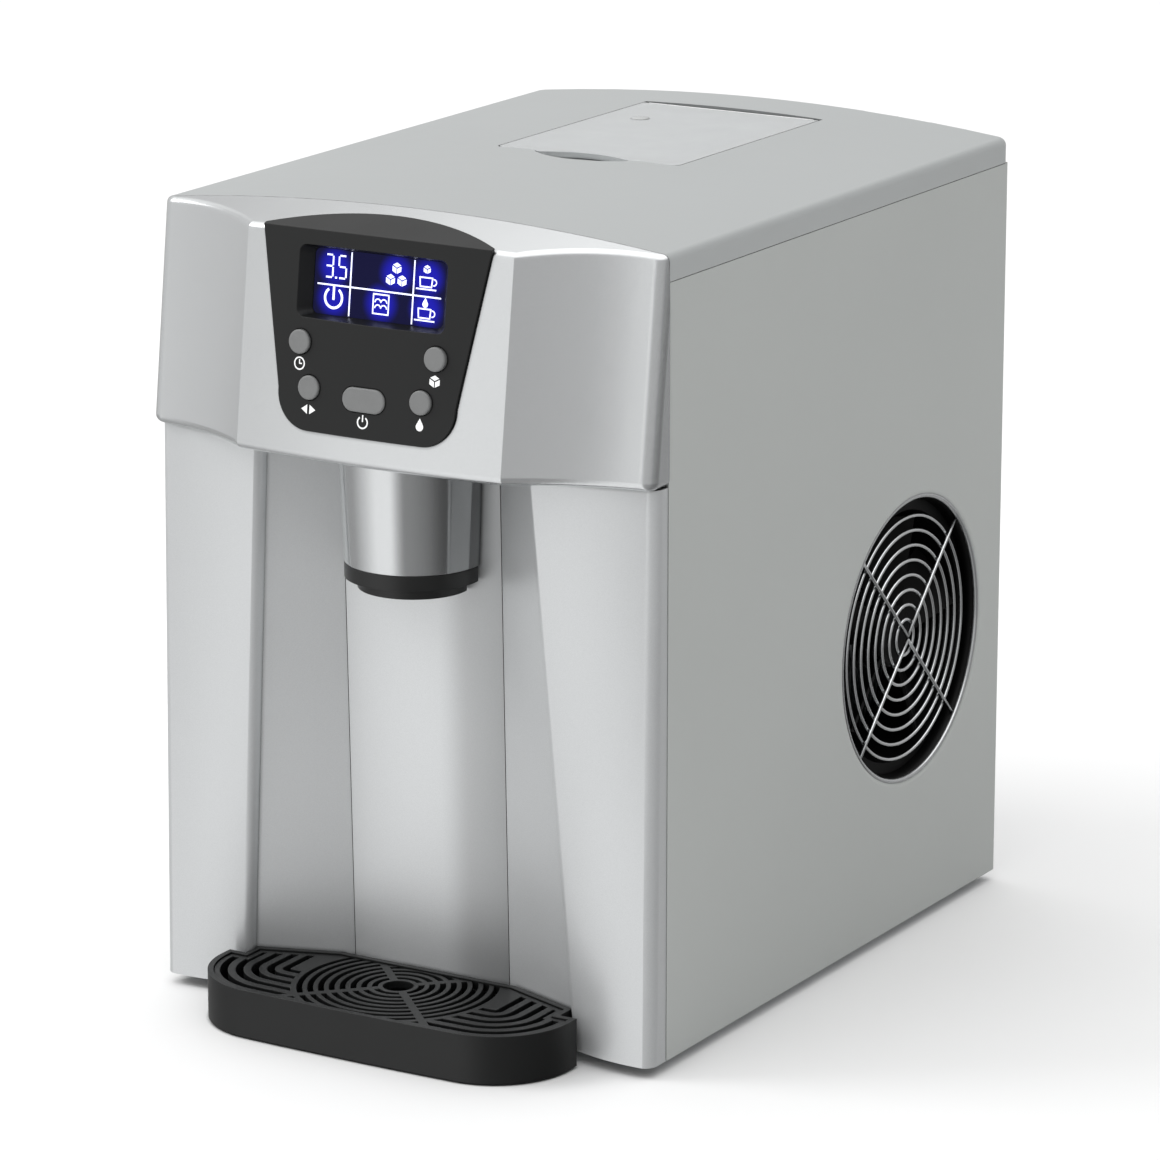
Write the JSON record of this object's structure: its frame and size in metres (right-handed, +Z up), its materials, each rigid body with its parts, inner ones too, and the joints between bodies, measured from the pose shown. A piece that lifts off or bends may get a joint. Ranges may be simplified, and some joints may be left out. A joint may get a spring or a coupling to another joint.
{
  "type": "countertop ice cube maker",
  "caption": "Countertop ice maker with a lit control panel, ice and water spout, drip tray, see-through bin lid and a guarded side fan.",
  "frame": {"origin": "middle of the footprint on the worktop, under the feet", "axes": "+X to the machine's left-hand side seen from behind (viewer's right from the front), +Y to the back, +Z up"},
  "size_m": [0.29, 0.4258, 0.4175],
  "materials": {
    "side_panel_steel": "satin",
    "plated_steel": "satin",
    "rubber_black": "matte",
    "screw_steel": "satin",
    "cover_plastic": "satin",
    "lid_clear": "gloss",
    "fascia_silver": "satin metallic",
    "niche_silver": "satin metallic",
    "spout_silver": "satin metallic",
    "panel_black": "satin",
    "lcd_cover": "gloss",
    "module_white": "matte",
    "board_green": "satin",
    "button_grey": "satin",
    "trim_black": "satin",
    "tray_black": "satin",
    "bin_white": "satin",
    "foam_white": "matte",
    "stainless": "satin",
    "motor_zinc": "satin",
    "nickel": "satin",
    "fan_black": "matte",
    "guard_wire": "gloss",
    "fin_aluminium": "satin",
    "copper": "satin",
    "pot_black": "gloss",
    "tank_clear": "satin",
    "hose_silicone": "satin",
    "float_white": "matte"
  },
  "bodies": {
    "cabinet": {"base_pan": "plated_steel", "rubber_feet": "rubber_black", "left_side_panel": "side_panel_steel", "right_side_panel": "side_panel_steel", "rear_panel": "side_panel_steel", "case_screws": "screw_steel", "top_cover": "cover_plastic", "lid_pins": "screw_steel", "head_fascia": "fascia_silver", "control_bezel": "panel_black", "lcd_lens": "lcd_cover", "lcd_module": "module_white", "display_board": "board_green", "lower_fascia": "fascia_silver", "niche_column": "niche_silver", "spout_shroud": "spout_silver", "chute_collar": "trim_black", "chute_nozzle": "trim_black", "ice_chute": "bin_white", "flap_motor": "trim_black", "water_outlet_tube": "hose_silicone", "ice_bin": "bin_white", "bin_insulation": "foam_white", "auger_motor": "motor_zinc", "evaporator": "nickel", "water_tray_motor": "trim_black", "inner_frame": "plated_steel", "fan_shroud": "fan_black", "fan_motor": "motor_zinc", "vent_guard": "guard_wire", "condenser": "fin_aluminium", "condenser_bends": "copper", "compressor": "pot_black", "compressor_bushes": "rubber_black", "filter_drier": "copper", "refrigerant_lines": "copper", "water_tank": "tank_clear", "float_stem": "float_white", "water_pump": "trim_black", "water_hose": "hose_silicone", "board_carrier": "trim_black", "main_board": "board_green", "power_inlet": "trim_black"},
    "lid": {"lid_window": "lid_clear"},
    "tray": {"drip_tray": "tray_black"},
    "grille": {"drip_grille": "tray_black"},
    "flap": {"chute_flap": "bin_white"},
    "auger_screw": {"auger": "stainless"},
    "freezing_tray": {"water_tray": "bin_white"},
    "fan": {"fan_blades": "fan_black"},
    "float_ring": {"level_float": "float_white"},
    "plug": {"drain_plug": "trim_black"},
    "timer_key": {"timer_button": "button_grey"},
    "select_key": {"select_button": "button_grey"},
    "power_key": {"power_button": "button_grey"},
    "ice_key": {"ice_button": "button_grey"},
    "water_key": {"water_button": "button_grey"}
  },
  "joints": [
    {"name": "lid_hinge", "type": "hinge", "parent": "cabinet", "child": "lid", "pos_m": [0, 0.1686, 0.41335], "axis": [-1, 0, 0], "range_deg": [0, 95]},
    {"name": "tray_slide", "type": "slide", "parent": "cabinet", "child": "tray", "axis": [0, -1, 0], "range_m": [0, 0.09]},
    {"name": "grille_lift", "type": "slide", "parent": "tray", "child": "grille", "axis": [0, 0, 1], "range_m": [0, 0.03]},
    {"name": "flap_hinge", "type": "hinge", "parent": "cabinet", "child": "flap", "pos_m": [0, -0.1471, 0.305], "axis": [1, 0, 0], "range_deg": [0, 72], "stiffness_Nm_per_rad": 0.001, "springref_deg": -34.38},
    {"name": "auger_spin", "type": "hinge", "parent": "cabinet", "child": "auger_screw", "pos_m": [0, 0, 0.33], "axis": [0, 1, 0], "continuous": true},
    {"name": "freezing_tray_tip", "type": "hinge", "parent": "cabinet", "child": "freezing_tray", "pos_m": [0, -0.0504, 0.378], "axis": [1, 0, 0], "range_deg": [0, 60]},
    {"name": "fan_spin", "type": "hinge", "parent": "cabinet", "child": "fan", "pos_m": [0.125, 0.1096, 0.16], "axis": [1, 0, 0], "continuous": true},
    {"name": "float_rise", "type": "slide", "parent": "cabinet", "child": "float_ring", "axis": [0, 0, 1], "range_m": [0, 0.09]},
    {"name": "plug_pull", "type": "slide", "parent": "cabinet", "child": "plug", "axis": [0, 1, 0], "range_m": [0, 0.025]},
    {"name": "timer_press", "type": "slide", "parent": "cabinet", "child": "timer_key", "axis": [0, 0.9923, -0.124], "range_m": [0, 0.0012], "stiffness_N_per_m": 400, "springref_m": -0.0005},
    {"name": "select_press", "type": "slide", "parent": "cabinet", "child": "select_key", "axis": [0, 0.9923, -0.124], "range_m": [0, 0.0012], "stiffness_N_per_m": 400, "springref_m": -0.0005},
    {"name": "power_press", "type": "slide", "parent": "cabinet", "child": "power_key", "axis": [0, 0.9923, -0.124], "range_m": [0, 0.0012], "stiffness_N_per_m": 400, "springref_m": -0.0005},
    {"name": "ice_press", "type": "slide", "parent": "cabinet", "child": "ice_key", "axis": [0, 0.9923, -0.124], "range_m": [0, 0.0012], "stiffness_N_per_m": 400, "springref_m": -0.0005},
    {"name": "water_press", "type": "slide", "parent": "cabinet", "child": "water_key", "axis": [0, 0.9923, -0.124], "range_m": [0, 0.0012], "stiffness_N_per_m": 400, "springref_m": -0.0005}
  ]
}
